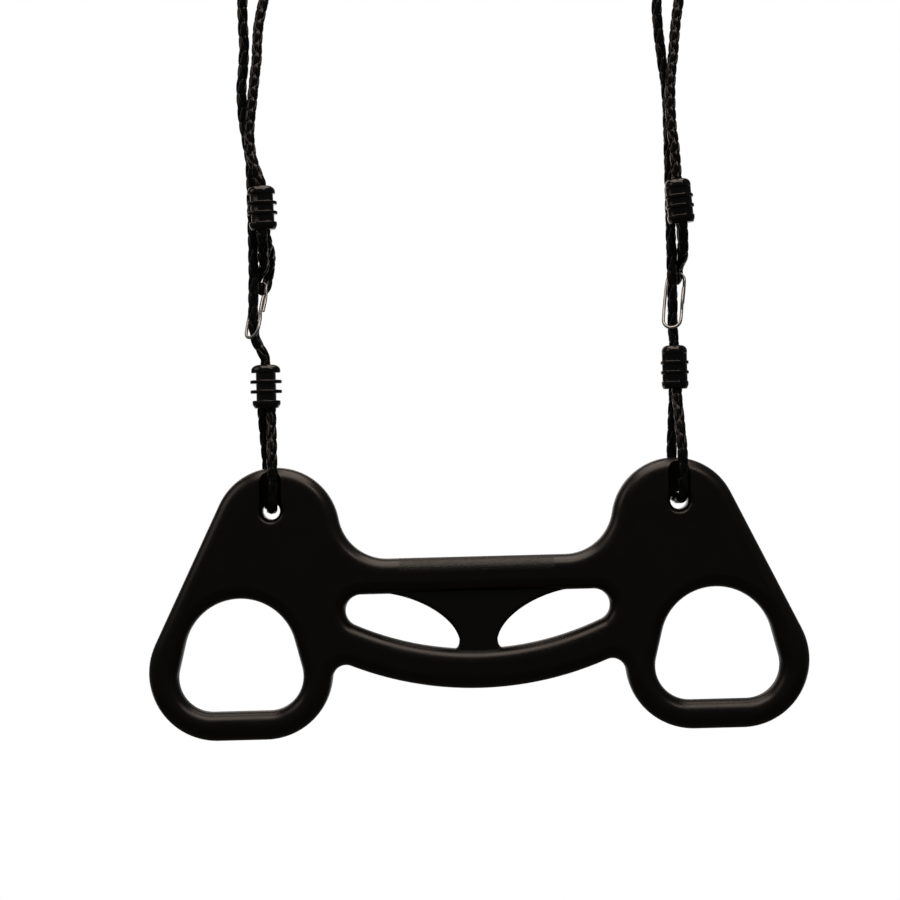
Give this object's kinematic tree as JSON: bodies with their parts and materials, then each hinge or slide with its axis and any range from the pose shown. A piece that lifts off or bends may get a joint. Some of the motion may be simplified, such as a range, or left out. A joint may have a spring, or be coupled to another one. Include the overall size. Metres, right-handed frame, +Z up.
{
  "type": "trapeze bar",
  "caption": "Child's trapeze bar: a moulded plastic bar with a ring grip at each end and a leaf-cut centre, on braided ropes with clamps, wire adjusters and steel hanging rings.",
  "frame": {"origin": "midpoint of the line through the centres of the two hanging rings, where two hooks hold the part", "axes": "+X along the bar to the viewer's right, +Y away from the viewer, across the bar, +Z up"},
  "size_m": [0.602, 0.0624, 0.755],
  "materials": {
    "moulding": "satin, fine grain",
    "rope_fibre": "braided polypropylene",
    "clamp_plastic": "glossy as moulded",
    "link_steel": "bright zinc-plated wire",
    "ring_steel": "bright zinc-plated bar"
  },
  "bodies": {
    "hanging_rings": {"left_hanging_ring": "ring_steel", "right_hanging_ring": "ring_steel"},
    "rope_tops": {"left_rope_over_ring": "rope_fibre", "right_rope_over_ring": "rope_fibre"},
    "lower_ropes": {"left_standing_strand": "rope_fibre", "left_lower_clamp": "clamp_plastic", "left_lower_eye": "rope_fibre", "right_standing_strand": "rope_fibre", "right_lower_clamp": "clamp_plastic", "right_lower_eye": "rope_fibre"},
    "left_adjuster": {"left_running_strand": "rope_fibre", "left_upper_clamp": "clamp_plastic", "left_upper_eye": "rope_fibre", "left_adjuster_link": "link_steel"},
    "right_adjuster": {"right_running_strand": "rope_fibre", "right_upper_clamp": "clamp_plastic", "right_upper_eye": "rope_fibre", "right_adjuster_link": "link_steel"},
    "bar": {"grip_body": "moulding"}
  },
  "joints": [
    {"name": "swing", "type": "hinge", "parent": "hanging_rings", "child": "rope_tops", "pos_m": [0, 0, 0], "axis": [1, 0, 0], "range_deg": [-60, 60]},
    {"name": "length_adjust", "type": "slide", "parent": "rope_tops", "child": "lower_ropes", "axis": [0, 0, -1], "range_m": [0, 0.08], "deforming": ["left_standing_strand", "right_standing_strand"]},
    {"name": "left_adjuster_slide", "type": "slide", "parent": "rope_tops", "child": "left_adjuster", "axis": [0, 0, 1], "range_m": [0, 0.08], "deforming": ["left_running_strand"]},
    {"name": "right_adjuster_slide", "type": "slide", "parent": "rope_tops", "child": "right_adjuster", "axis": [0, 0, 1], "range_m": [0, 0.08], "deforming": ["right_running_strand"]},
    {"name": "bar_tilt", "type": "hinge", "parent": "lower_ropes", "child": "bar", "pos_m": [0, 0, -0.477], "axis": [1, 0, 0], "range_deg": [-20, 20], "deforming": ["left_lower_eye", "right_lower_eye"]}
  ],
  "couplings": [
    {"joint": "left_adjuster_slide", "follows": "length_adjust", "ratio": 1},
    {"joint": "right_adjuster_slide", "follows": "length_adjust", "ratio": 1}
  ]
}
